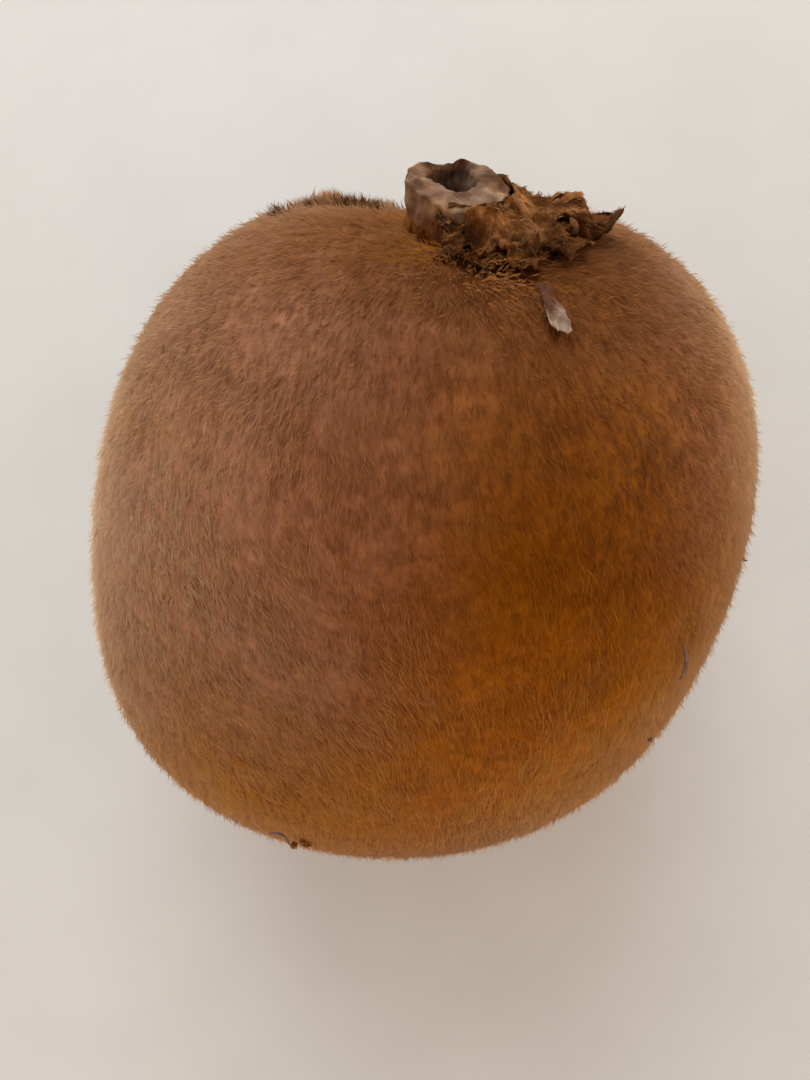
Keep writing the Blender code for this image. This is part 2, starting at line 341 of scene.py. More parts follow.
def smooth_noise(points, scale, seed):
    """Noise from -1 to 1 whose bumps are about scale wide, at an array of points."""
    shift = np.array([seed * 17.1, seed * 5.3, seed * 9.7])
    places = (points / scale + shift).reshape(-1, 3)
    return np.array([noise.noise(Vector(place)) for place in places]).reshape(points.shape[:-1])


# -------- mesh and material helpers

def new_object(name, data):
    """An object in the scene from its mesh, lamp or lens."""
    made = bpy.data.objects.new(name, data)
    bpy.context.collection.objects.link(made)
    return made


def mesh_object(name, vertices, faces, material):
    """A smooth-shaded mesh object from vertices and faces."""
    mesh = bpy.data.meshes.new(name)
    mesh.from_pydata([tuple(v) for v in vertices], [], faces)
    mesh.polygons.foreach_set("use_smooth", [True] * len(mesh.polygons))
    mesh.materials.append(material)
    mesh.update()
    return new_object(name, mesh)


def grid_faces(rows, columns, start=0, closed=False):
    """Quads of a grid of vertices, which may close on itself across its columns."""
    faces = []
    for i in range(rows - 1):
        for j in range(columns if closed else columns - 1):
            k = (j + 1) % columns
            here = start + i * columns
            below = here + columns
            faces.append((here + j, below + j, below + k, here + k))
    return faces


def tube_faces(rows, columns):
    """Faces of a closed tube of rings, with both its ends."""
    last = (rows - 1) * columns
    ends = [tuple(range(columns)), tuple(reversed(range(last, last + columns)))]
    return grid_faces(rows, columns, closed=True) + ends


def sheet_grid(rows, columns):
    """Places along a sheet from 0 to 1, and across it from -1 to 1."""
    return np.meshgrid(np.linspace(0, 1, rows), np.linspace(-1, 1, columns), indexing="ij")


def sheet_solid(top, bottom):
    """Vertices and faces of a closed thin sheet from two equal grids of points."""
    rows, columns = top.shape[:2]
    count = rows * columns
    vertices = np.concatenate((top.reshape(-1, 3), bottom.reshape(-1, 3)))
    faces = grid_faces(rows, columns) + flipped(grid_faces(rows, columns, count))
    index = np.arange(count).reshape(rows, columns)
    edge = np.concatenate((index[:, 0], index[-1, 1:], index[-2::-1, -1], index[0, -2:0:-1])).tolist()
    for here, there in zip(edge, edge[1:] + edge[:1]):
        faces.append((here, count + here, count + there, there))
    return vertices, faces


STRAND_GUIDE = np.array([0.31, 0.52, 0.79])  # no strand runs along it


def strand_solid(path, radius, sides=5):
    """Vertices and faces of a closed strand along a path of points, with their radii."""
    turns = 2 * np.pi * np.arange(sides) / sides
    along = unit(np.gradient(path, axis=0))
    aside = unit(np.cross(along, STRAND_GUIDE))
    rings = turned(aside[:, None], np.cross(along, aside)[:, None], turns)
    vertices = path[:, None] + radius[:, None, None] * rings
    return vertices.reshape(-1, 3), tube_faces(len(path), sides)


def globe(rows, columns):
    """Directions and faces of a closed globe: rings about Z, then its two poles."""
    from_top = np.pi * np.arange(1, rows) / rows
    turn = 2 * np.pi * np.arange(columns) / columns
    ways = directions(*np.meshgrid(from_top, turn, indexing="ij")).reshape(-1, 3)
    ways = np.concatenate((ways, [[1e-6, 0.0, 1.0], [1e-6, 0.0, -1.0]]))
    faces = grid_faces(rows - 1, columns, closed=True)
    top = (rows - 1) * columns
    last = top - columns
    for j in range(columns):
        k = (j + 1) % columns
        faces.append((top, j, k))
        faces.append((top + 1, last + k, last + j))
    return unit(ways), faces


def lump_solid(middle, reach, seed):
    """Vertices and faces of a closed rough lump; reach holds its half sizes along X, Y and Z."""
    ways, faces = globe(10, 14)
    rough = 1 + 0.55 * smooth_noise(ways, 0.6, seed) + 0.35 * smooth_noise(ways, 0.25, seed + 1)
    return middle + ways * rough[:, None] * reach, faces


def crumb_solid(middle, reach, seed, count=12):
    """Vertices and faces of a crumb: a cluster of small rough lumps."""
    rng = np.random.default_rng(seed)
    lumps = []
    for k in range(count):
        spot = middle + rng.uniform(-0.6, 0.6, 3) * reach
        lumps.append(lump_solid(spot, rng.uniform(0.25, 0.5) * reach, seed + 2 * k))
    return joined(*lumps)


def flipped(faces):
    """Faces that look the other way."""
    return [tuple(reversed(face)) for face in faces]


def second_material(piece, material, start):
    """Give a second material to the faces whose vertices all come from a start on."""
    piece.data.materials.append(material)
    for polygon in piece.data.polygons:
        if min(polygon.vertices) >= start:
            polygon.material_index = 1


def joined(*solids):
    """One list of vertices and one of faces from several solids."""
    vertices = []
    faces = []
    for more_vertices, more_faces in solids:
        start = len(vertices)
        vertices.extend(more_vertices)
        faces += [tuple(start + v for v in face) for face in more_faces]
    return np.array(vertices), faces


def solid_piece(name, vertices, faces, material, node_names, slot_name):
    """A finished piece from the vertices and faces of a closed solid."""
    return finished(mesh_object(name, vertices, faces, material), node_names)


def finished(piece, node_names):
    """Put a piece on the fruit's body and in the place of its part."""
    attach(piece, "root")
    if node_names:
        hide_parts(*node_names)
    return piece


class Nodes:
    """A node tree with a few helpers for its nodes."""

    def __init__(self, tree):
        self.nodes = tree.nodes
        self.links = tree.links

    def put(self, spot, value):
        """Link a socket to an input, or give the input a constant."""
        if isinstance(value, bpy.types.NodeSocket):
            self.links.new(value, spot)
        else:
            spot.default_value = value

    def node(self, kind, inputs=(), **settings):
        """A new node with its inputs and its settings."""
        made = self.nodes.new(kind)
        for key, value in settings.items():
            setattr(made, key, value)
        for key, value in dict(inputs).items():
            self.put(made.inputs[key], value)
        return made

    def vector(self, operation, one, other=(0, 0, 0)):
        """Vector maths on one vector, or on two."""
        made = self.node("ShaderNodeVectorMath", {0: one, 1: other}, operation=operation)
        return made.outputs["Value" if operation == "DOT_PRODUCT" else "Vector"]

    def ranged(self, value, low, high, curve="SMOOTHSTEP"):
        """A value brought to 0 at the low limit and 1 at the high one."""
        limits = {"Value": value, "From Min": low, "From Max": high}
        return self.node("ShaderNodeMapRange", limits, interpolation_type=curve).outputs["Result"]

    def ramp(self, factor, *stops):
        """Colour ramp over stops of position and linear colour."""
        made = self.node("ShaderNodeValToRGB", {"Fac": factor})
        elements = made.color_ramp.elements
        while len(elements) < len(stops):
            elements.new(0.5)
        for element, (position, colour) in zip(elements, stops):
            element.position = position
            element.color = (*colour, 1)
        return made.outputs["Color"]

    def mix(self, factor, one, other, kind="MIX"):
        """Mix of two colours, each a socket or a constant."""
        made = self.node("ShaderNodeMix", data_type="RGBA", blend_type=kind)
        for value, socket in ((factor, "Factor"), (one, "A"), (other, "B")):
            spots = (s for s in made.inputs if s.name == socket and s.type != "VECTOR" and s.enabled)
            self.put(next(spots), value)
        return next(s for s in made.outputs if s.enabled)


class Shader(Nodes):
    """A Principled material and its nodes."""

    def __init__(self, name, roughness, sheen=0.0, gloss=0.25):
        self.material = bpy.data.materials.new(name)
        self.material.use_nodes = True
        super().__init__(self.material.node_tree)
        self.surface = self.nodes["Principled BSDF"].inputs
        self.put(self.surface["Roughness"], roughness)
        self.put(self.surface["Specular IOR Level"], gloss)
        self.put(self.surface["Sheen Weight"], sheen)
        self.put(self.surface["Sheen Roughness"], 0.32)
        self.put(self.surface["Sheen Tint"], SHEEN_TINT)

    def places(self):
        return self.node("ShaderNodeTexCoord").outputs["Object"]

    def noise(self, place, scale, detail=3.0, stretch=None):
        """Noise texture whose scale is in bumps per metre; its output runs from 0 to 1."""
        if stretch:
            place = self.node("ShaderNodeMapping", {"Vector": place, "Scale": stretch}).outputs[0]
        settings = {"Vector": place, "Scale": scale, "Detail": detail, "Roughness": 0.55}
        return self.node("ShaderNodeTexNoise", settings).outputs["Fac"]

    def grained(self, base, grain, dark, strength):
        """A colour that is darker along the low parts of a grain."""
        lines = self.ramp(grain, (0.35, dark), (0.65, (1.15, 1.12, 1.1)))
        return self.mix(strength, base, lines, "MULTIPLY")

    def colour(self, socket):
        self.put(self.surface["Base Color"], socket)

    def bump(self, height, strength, distance):
        made = self.node("ShaderNodeBump", {"Height": height, "Strength": strength, "Distance": distance})
        self.put(self.surface["Normal"], made.outputs["Normal"])

    def nearness(self, places, spot, far, near):
        """How near places are to a spot on the fruit; the limits are cosines of the angle."""
        outward = self.vector("NORMALIZE", self.vector("SUBTRACT", places, CENTRE))
        across = self.vector("DOT_PRODUCT", outward, POSE_TURN @ direction(*spot))
        return self.ranged(across, far, near)

    def rise(self, places, low, high):
        """How far places are along the core: 0 at the low height and 1 at the high one."""
        height = self.vector("DOT_PRODUCT", self.vector("SUBTRACT", places, CENTRE), POSE_TURN[:, 2])
        return self.ranged(height, low, high, "LINEAR")


# -------- materials

def calyx_tone_and_painted_shade(shader, places, colour):
    """A colour made paler or darker at spots of the calyx: partly its own colour, partly painted light and
    shade.
    """
    for spot, spread, change in CALYX_PAINTED_SHADE_AND_TONE:
        far = math.cos(math.radians(1.6 * spread))
        near = math.cos(math.radians(0.3 * spread))
        tinted = shader.mix(abs(change), WHITE, DARKER_TINT if change < 0 else PALER_TINT)
        shade = shader.mix(shader.nearness(places, spot, far, near), WHITE, tinted)
        colour = shader.mix(1.0, colour, shade, "MULTIPLY")
    return colour


def calyx_hair_tone_and_painted_shade(points):
    """Change of the tone of hairs rooted at points of the calyx: partly their own colour, partly painted
    light and shade.
    """
    ways = unit(points)
    return sum(0.35 * change * nearness(ways, spot, spread) for spot, spread, change in CALYX_PAINTED_SHADE_AND_TONE)


def skin_material():
    """Mottled brown skin, with golden, pale and darker regions: the pale ones painted light and glow, the
    golden ones partly painted shade.
    """
    shader = Shader("kiwi_skin", roughness=0.8, sheen=0.8, gloss=0.06)
    places = shader.places()
    mottle = shader.noise(places, 160, detail=4)
    fine = shader.noise(places, 900)
    base = SKIN_BROWN
    for spot, far, near, colour in SKIN_REGIONS:
        base = shader.mix(shader.nearness(places, spot, far, near), base, colour)
    patches = shader.ramp(mottle, (0.3, (0.84, 0.78, 0.74)), (0.7, (1.14, 1.22, 1.26)))
    base = shader.mix(1.0, base, patches, "MULTIPLY")
    grain = shader.ramp(fine, (0.3, (0.55, 0.5, 0.45)), (0.7, (1.15, 1.1, 1.05)))
    shader.colour(shader.mix(0.8, base, grain, "MULTIPLY"))
    shader.bump(fine, 0.4, 0.1 * MM)
    return shader.material


def hair_material(name, cool, warm, sheen):
    """Colour of hairs: the tone runs along U from dark to light, and the warmth along V."""
    shader = Shader(name, roughness=0.7, sheen=sheen, gloss=0.06)
    chart = shader.node("ShaderNodeUVMap", uv_map="OFBake").outputs["UV"]
    split = shader.node("ShaderNodeSeparateXYZ", {0: chart}).outputs
    cool_tones = shader.ramp(split["X"], *zip(HAIR_TONES, cool))
    warm_tones = shader.ramp(split["X"], *zip(HAIR_TONES, warm))
    shader.colour(shader.mix(split["Y"], cool_tones, warm_tones))
    return shader.material


def dry_material(name):
    """Dry plant stuff: patches of three colours, with low bumps."""
    scale, dark, middle, light = DRY_LOOKS[name]
    shader = Shader(name, roughness=0.92)
    patches = shader.noise(shader.places(), scale, detail=4)
    shader.colour(shader.ramp(patches, (0.32, dark), (0.5, middle), (0.7, light)))
    shader.bump(patches, 0.6, 0.15 * MM)
    return shader.material


def wood_material():
    """Dry wood with upright grain: brown at its foot and bleached towards the rim, with painted light and
    shade at spots of the calyx.
    """
    shader = Shader("stalk_wood", roughness=0.9)
    places = shader.places()
    grain = shader.noise(places, 900, detail=6, stretch=(1, 1, 0.35))
    patches = shader.noise(places, 350)
    base = shader.ramp(
        patches,
        (0.36, (0.065, 0.022, 0.008)),
        (0.48, (0.14, 0.068, 0.034)),
        (0.62, (0.24, 0.140, 0.086)),
    )
    grained = shader.grained(base, grain, (0.4, 0.36, 0.33), 0.85)
    weather = shader.ramp(
        shader.rise(places, STUB_FOOT_LEVEL, STUB_RIM_LEVEL),
        (0.0, (0.80, 0.40, 0.16)),
        (0.4, (1.05, 0.76, 0.54)),
        (0.95, (1.30, 1.34, 1.36)),
    )
    shader.colour(calyx_tone_and_painted_shade(shader, places, shader.mix(1.0, grained, weather, "MULTIPLY")))
    shader.bump(grain, 0.6, 0.15 * MM)
    return shader.material


def sepal_material():
    """Withered brown leaf, paler and darker in patches, with painted light and shade at spots of the calyx.
    """
    shader = Shader("withered_sepal", roughness=0.9, gloss=0.1)
    places = shader.places()
    patches = shader.noise(places, 420, detail=4)
    fine = shader.noise(places, 2200, detail=4)
    base = shader.ramp(
        patches,
        (0.34, (0.030, 0.008, 0.001)),
        (0.5, (0.13, 0.044, 0.010)),
        (0.64, (0.34, 0.150, 0.055)),
    )
    grained = shader.grained(base, fine, (0.5, 0.46, 0.42), 0.8)
    shader.colour(calyx_tone_and_painted_shade(shader, places, grained))
    shader.bump(fine, 0.5, 0.12 * MM)
    return shader.material


def petal_material():
    """Pale veined petal, darker at its narrow end."""
    shader = Shader("pale_petal", roughness=0.8, sheen=0.1)
    places = shader.places()
    veins = shader.noise(places, 700, detail=5)
    base = shader.ramp(
        veins,
        (0.3, (0.20, 0.115, 0.080)),
        (0.5, (0.40, 0.26, 0.19)),
        (0.7, (0.56, 0.43, 0.35)),
    )
    narrow_end = shader.nearness(places, SCRAP_START, 0.9925, 0.9990)
    fade = shader.mix(narrow_end, (1.0, 1.04, 1.05, 1), (0.30, 0.17, 0.11, 1))
    shader.colour(shader.mix(1.0, base, fade, "MULTIPLY"))
    shader.bump(veins, 0.5, 0.1 * MM)
    return shader.material


# -------- skin

def build_skin():
    """The skin, with low bumps and pits."""
    ways, faces = globe(SKIN_RINGS, SKIN_SEGMENTS)
    points, normals, _ = skin_frames(ways)
    relief = 0.16 * MM * smooth_noise(points, 4.5 * MM, 1) + 0.04 * MM * smooth_noise(points, 1.4 * MM, 2)
    vertices = posed(points + normals * relief[:, None])
    vertices[:, 2] = np.maximum(vertices[:, 2], 0.0)
    solid_piece("kiwi_skin", vertices, faces, skin_material(), ["fruit"], "skin")


# -------- fuzz

def cell_random(points, size, seed):
    """Middle of the jittered cell that holds each point, and three random numbers for the cell."""
    cells = np.floor(points / size).astype(np.int64)
    mixed = cells[:, 0] * 73856093 ^ cells[:, 1] * 19349663 ^ cells[:, 2] * 83492791 ^ seed * 2654435761
    numbers = []
    for _ in range(6):
        mixed = (mixed * 6364136223846793005 + 1442695040888963407) & 0x7FFFFFFFFFFFFFFF
        numbers.append(((mixed >> 20) & 0xFFFFF) / 0xFFFFF)
    numbers = np.stack(numbers, axis=-1)
    return (cells + 0.15 + 0.7 * numbers[:, :3]) * size, numbers[:, 3:]


def hair_vertices(roots, normals, flow, length, width, lean, curl, pull):
    """Four corners of each hair: two at its foot, one on its back halfway, and its tip."""
    sideways = unit(np.cross(normals, flow))
    rising = turned(flow, normals, lean)
    tip = roots + rising * length[:, None] + pull - normals * (curl * length)[:, None]
    middle = roots + rising * (0.5 * length)[:, None] + 0.35 * pull + normals * (0.35 * width)[:, None]
    half = sideways * (0.5 * width)[:, None]
    return np.stack((roots - half, roots + half, middle, tip), axis=1)


def hair_piece(name, hairs, normals, tone, warmth, material, slot_name):
    """One mesh of closed four-sided hairs, shaded softly, with their tones and warmths in the UV map."""
    corners = posed(hairs)
    normals = normals @ POSE_TURN.T
    corners[:, :, 2] = np.maximum(corners[:, :, 2], 0.06 * MM + 0.02 * MM * np.arange(4))
    count = len(corners)
    triangles = (np.arange(count)[:, None, None] * 4 + HAIR_FACES).ravel()
    mesh = bpy.data.meshes.new(name)
    mesh.vertices.add(4 * count)
    mesh.vertices.foreach_set("co", corners.astype(np.float32).ravel())
    mesh.loops.add(len(triangles))
    mesh.loops.foreach_set("vertex_index", triangles.astype(np.int32))
    mesh.polygons.add(4 * count)
    mesh.polygons.foreach_set("loop_start", np.arange(0, len(triangles), 3, dtype=np.int32))
    mesh.polygons.foreach_set("use_smooth", np.ones(4 * count, bool))
    mesh.materials.append(material)
    mesh.update(calc_edges=True)
    outwards = unit(corners[:, 1] - corners[:, 0])[:, None] * np.array([-1.0, 1.0, 0.0, 0.0])[:, None]
    shading = unit(normals[:, None] + HAIR_ROUNDNESS * outwards).reshape(-1, 3)
    mesh.normals_split_custom_set_from_vertices(shading)
    # paler towards the tip and darker at the foot: partly painted light on the tips and painted shade at
    # the roots
    u = tone[:, None] + np.array([-0.07, -0.07, 0.03, 0.16])
    v = np.broadcast_to(warmth, count)[:, None] + np.array([-0.01, 0.01, 0.0, 0.0])
    chart = np.clip(np.stack((u, v), axis=-1), 0.01, 0.99).reshape(-1, 2)
    layer = mesh.uv_layers.new(name="OFBake")
    layer.data.foreach_set("uv", chart[triangles].astype(np.float32).ravel())
    finished(new_object(name, mesh), [])


def fuzz_marks(points):
    """Change of tone at points near the worn patches and furrows of the fuzz."""
    change = np.zeros(len(points))
    for from_stem, turn, length, width, tone in FUZZ_MARKS:
        middle = on_skin(from_stem, turn)
        outward = unit(middle)
        aside = unit(np.cross([0.0, 0.0, 1.0], outward))
        along = np.cross(aside, outward)
        away = (points - middle) / MM
        near = np.exp(-((away @ along) / length) ** 2 - ((away @ aside) / width) ** 2)
        change += tone * near * (points @ middle > 0)
    return change


def build_fuzz(material):
    """Short dense fuzz over the whole skin, lying away from the stem in small clumps."""
    rng = np.random.default_rng(7)
    index = np.arange(HAIR_COUNT) + 0.5
    from_stem = np.arccos(1 - 2 * index / HAIR_COUNT) + rng.normal(0, 0.006, HAIR_COUNT)
    turn = index * math.pi * (3 - math.sqrt(5)) + rng.normal(0, 0.01, HAIR_COUNT)
    ways = directions(np.clip(from_stem, 0.002, math.pi - 0.002), turn)
    points, normals, downhill = skin_frames(ways)
    aside = np.cross(normals, downhill)

    clump, clump_numbers = cell_random(points, FUZZ_CLUMP, 3)
    patch = smooth_noise(points, 6 * MM, 4)
    kind = rng.random(HAIR_COUNT)
    guard = kind < GUARD_SHARE
    upright = kind > 1 - UPRIGHT_SHARE
    swirl = 0.38 * smooth_noise(points, 6 * MM, 5) + 0.30 * smooth_noise(points, 1.8 * MM, 6)
    swirl += rng.normal(0, 0.22, HAIR_COUNT)
    for spot, spread, veer in FUZZ_TURNS:
        swirl += veer * nearness(ways, spot, spread)
    flow = turned(downhill, aside, swirl)
    length = FUZZ_LENGTH * (1 + 0.2 * clump_numbers[:, 0] + rng.normal(0, 0.18, HAIR_COUNT))
    hem = nearness(ways, CALYX_HEM, 8)  # longer fuzz that rises against the calyx
    length = np.clip(length * (1 + 0.10 * guard - 0.05 * upright), 0.5 * MM, 1.8 * MM) * (1 + 0.6 * hem)
    lean = 14 + 5 * patch + 13 * guard + 46 * upright + rng.normal(0, 4, HAIR_COUNT) * (1 + 1.5 * upright)
    lean = np.radians(lean + 18 * hem * (1 - upright))
    width = FUZZ_WIDTH * (1 + rng.normal(0, 0.15, HAIR_COUNT)) * (1 - 0.38 * guard - 0.58 * upright)
    towards = clump - points
    towards -= normals * (towards * normals).sum(1)[:, None]
    pull = 0.16 * towards * (1 - upright)[:, None]
    rising = turned(flow, normals, lean)
    hairs = hair_vertices(points - normals * ROOT_DEPTH, normals, flow, length, width, lean, 0.12, pull)
    shading = unit(normals + 0.25 * unit(rising))

    # Golden regions: partly the fuzz's own colour, partly painted shade
    golden = np.maximum(nearness(ways, GOLDEN_FLANK, 36), nearness(ways, GOLDEN_BELLY, 34))
    golden = np.maximum(golden, 0.9 * nearness(ways, GOLDEN_CORNER, 30))
    bright = nearness(ways, BRIGHT_FLANK, 30)
    # Paler: painted light on the left flank, and a painted glow at the right side
    pale = 1.12 * nearness(ways, PAINTED_LIGHT_FLANK, 42) + 1.15 * nearness(ways, PAINTED_GLOW_SIDE, 28)
    # Darker: painted shade on the middle and the belly, and darker towards the stem end
    painted_shade_and_dark_stem_end = nearness(ways, PAINTED_SHADE_MIDDLE, 26) + 0.5 * nearness(ways, STEM_END, 45)
    painted_shade_and_dark_stem_end += 1.4 * nearness(ways, PAINTED_SHADE_BELLY, 17)
    streak = smooth_noise(stacked(60 * np.cos(turn), 60 * np.sin(turn), 15 * from_stem), 1.0, 9)
    tone = 0.33 + 0.10 * patch + 0.12 * streak + 0.06 * (clump_numbers[:, 1] - 0.5)
    tone += rng.normal(0, 0.03, HAIR_COUNT) + fuzz_marks(points)
    # Painted shade on the fuzz close to the calyx, where the sepals shade it
    beside = np.linalg.norm(points[:, :2] - STUB_OFFSET, axis=-1)
    painted_calyx_shade = np.exp(-((beside / (12 * MM)) ** 2)) * (points[:, 2] > 0)
    painted_edge_glow = sum(change * nearness(ways, spot, spread) for spot, spread, change in PAINTED_EDGE_GLOWS)
    # Upright hairs paler, and more so towards the fruit's edge: painted glow
    tone += 0.13 * guard + (0.42 + painted_edge_glow) * upright * (1 - painted_calyx_shade)
    tone += 0.60 * bright + 0.46 * pale + painted_edge_glow - 0.20 * painted_shade_and_dark_stem_end
    # paler at the calyx's hem, painted light against the shade under the sepals; darker close to the calyx,
    # painted shade
    tone += 0.10 * hem - 0.24 * painted_calyx_shade + calyx_hair_tone_and_painted_shade(points)
    blush = 0.22 * smooth_noise(points, 9 * MM, 8) + 0.15 * (clump_numbers[:, 2] - 0.5)
    # cooler where the painted light lies, warmer in the painted shade by the calyx
    warmth = 0.30 + 0.70 * golden - 0.15 * pale + blush + 0.65 * painted_calyx_shade

    kept = (posed(hairs[:, 0])[:, 2] > 0.25 * MM) & ((beside > 3.2 * MM) | (points[:, 2] < 0))
    limits = np.linspace(0, HAIR_COUNT, len(FUZZ_PIECES) + 1).astype(int)
    for name, start, end in zip(FUZZ_PIECES, limits, limits[1:]):
        mine = start + np.flatnonzero(kept[start:end])
        hair_piece(name, hairs[mine], shading[mine], tone[mine], warmth[mine], material, "skin")


# -------- stage

def build_room_light():
    """Light from all round: bright on the window's side, warm away from it and dim overhead."""
    world = bpy.data.worlds.new("soft_room")
    world.use_nodes = True
    sky = Nodes(world.node_tree)
    ways = sky.node("ShaderNodeTexCoord").outputs["Generated"]
    height = sky.ramp(
        sky.vector("DOT_PRODUCT", ways, (0, 0, 1)),
        (0.0, (1, 1, 1)),
        (0.35, (0.58, 0.58, 0.58)),
        (0.95, (0.10, 0.10, 0.10)),
    )
    towards = sky.vector("DOT_PRODUCT", ways, Vector(ROOM_BRIGHT_WAY).normalized())
    side = sky.ramp(
        sky.ranged(towards, -1, 1, "LINEAR"),
        (0.0, (0.76, 0.54, 0.36)),
        (0.45, (0.70, 0.59, 0.49)),
        (1.0, (1.0, 0.96, 0.93)),
    )
    surface = sky.nodes["Background"].inputs
    sky.put(surface["Color"], sky.mix(1.0, height, side, "MULTIPLY"))
    sky.put(surface["Strength"], ROOM_STRENGTH)
    bpy.context.scene.world = world


def build_stage():
    """A pale table, soft light from beyond the stem end, and the camera above."""
    shader = Shader("pale_table", roughness=0.55)
    speckle = shader.noise(shader.places(), 60)
    shader.colour(shader.ramp(speckle, (0.35, (0.765, 0.752, 0.737)), (0.65, (0.795, 0.782, 0.767))))
    corners = TABLE_REACH * np.array([(-1, -1, 0), (1, -1, 0), (1, 1, 0), (-1, 1, 0)])
    floor = mesh_object("table", corners, [(0, 1, 2, 3)], shader.material)
    floor.location.z = -TABLE_DROP

    lamp = bpy.data.lights.new("window", "AREA")
    lamp.shape = "DISK"
    lamp.size = WINDOW_SIZE
    lamp.energy = WINDOW_POWER
    lamp.color = WINDOW_COLOUR
    window = new_object("window", lamp)
    window.location = WINDOW_PLACE
    window.rotation_euler = (Vector(WINDOW_PLACE) - Vector(WINDOW_AIM)).to_track_quat("Z", "Y").to_euler()
    build_room_light()

    lens = bpy.data.cameras.new("camera")
    lens.lens = CAMERA_LENS
    lens.clip_start = MM
    lens.clip_end = 20
    camera = new_object("camera", lens)
    backwards = Vector((0, -math.cos(CAMERA_RISE), math.sin(CAMERA_RISE)))
    right = Vector((1, 0, 0))
    up = backwards.cross(right)
    place = CENTRE + backwards * CAMERA_DISTANCE + right * CAMERA_ASIDE + up * CAMERA_UP
    camera.matrix_world = Matrix.Translation(place) @ Matrix((right, up, backwards)).transposed().to_4x4()
    bpy.context.scene.camera = camera
    bpy.context.scene.view_settings.view_transform = "Standard"


# -------- stalk stub

PITH_RINGS = 15  # how many of the stub's last rings line the pith


def stub_rings():
    """Middle, radius and level of each ring of the stub: up the wall, over the rim and down the pith."""
    rings = []
    for t in np.linspace(0, 1, 26):
        rings.append((STUB_LEAN * t, STUB_RADIUS * (1.10 - 0.30 * t + 0.22 * t**2), t))
    for t in np.linspace(0.08, 1, 12):
        middle = STUB_LEAN * (1 - t) + PITH_OFFSET * t
        radius = STUB_RADIUS * 1.02 * (1 - t) + PITH_RADIUS * t
        rings.append((middle, radius, 1 + 0.05 * math.sin(math.pi * t) - 0.02 * t**3))
    for t in np.linspace(0.12, 1, 10):
        rings.append((PITH_OFFSET, PITH_RADIUS * (1 - 0.35 * t**2), 0.98 - t * PITH_DEPTH / STUB_HEIGHT))
    for t in np.linspace(0.2, 1, 5):
        rings.append((PITH_OFFSET, PITH_RADIUS * 0.65 * (1.02 - t), 0.98 - PITH_DEPTH / STUB_HEIGHT))
    return rings


def build_stub(wood, pith, down):
    """The stub: a fibrous wall, a broken sloping top, a sunken pith, and down on its foot."""
    segments = STUB_SEGMENTS
    turns = 2 * np.pi * np.arange(segments) / segments
    around = np.stack((np.cos(turns), np.sin(turns)), axis=-1)
    rings = stub_rings()
    grid = []
    for middle, radius, level in rings:
        lumps = smooth_noise(raised(around, 1.1 * level), 0.55, 21)
        fibres = smooth_noise(raised(around, 0.16 * level), 0.13, 22)
        steady = raised(around * radius / STUB_RADIUS, 0.0)
        broken = smooth_noise(steady, 0.45, 23) + 0.6 * smooth_noise(steady, 0.17, 24)
        wall = min(1.0, radius / (0.6 * STUB_RADIUS))
        reach = radius * (1 + 0.13 * wall * lumps) + wall * 0.16 * MM * fibres
        spot = STUB_OFFSET + middle + around * reach[:, None]
        slope = (spot - STUB_OFFSET) @ STUB_SLOPE
        rise = STUB_HEIGHT * level + (slope + 0.33 * MM * wall * broken) * level
        foot = above_stem_end(spot, -0.25 * MM)
        foot[:, 2] += rise
        grid.append(foot)
    grid = np.array(grid)
    faces = flipped(tube_faces(len(rings), segments))
    piece = solid_piece("stalk_stub", posed(grid.reshape(-1, 3)), faces, wood, ["stem_stub"], "stalk")
    second_material(piece, pith, (len(rings) - PITH_RINGS) * segments)

    rng = np.random.default_rng(29)
    hairs, normals = hairs_on_grid(grid[:22][::-1], STUB_DOWN, rng, aim=-1)
    roots = hairs[:, 0]
    level = (roots[:, 2] - STUB_FOOT_LEVEL) / (STUB_RIM_LEVEL - STUB_FOOT_LEVEL)
    front = (roots[:, 0] - STUB_OFFSET[0] - roots[:, 1]) / STUB_RADIUS
    kept = level < 0.36 + 0.24 * front + 0.25 * smooth_noise(roots, 1.3 * MM, 25)
    tones = 0.44 + 0.3 * smooth_noise(roots, 0.9 * MM, 26) + rng.normal(0, 0.08, STUB_DOWN)
    hair_piece("stalk_down", hairs[kept], normals[kept], tones[kept], 0.9, down, "stalk")


# -------- withered sepals

def beside_stub(distance, angle):
    """Spots across the core at distances and angles from the stub's middle."""
    return STUB_OFFSET + np.stack((distance * np.cos(angle), distance * np.sin(angle)), axis=-1)


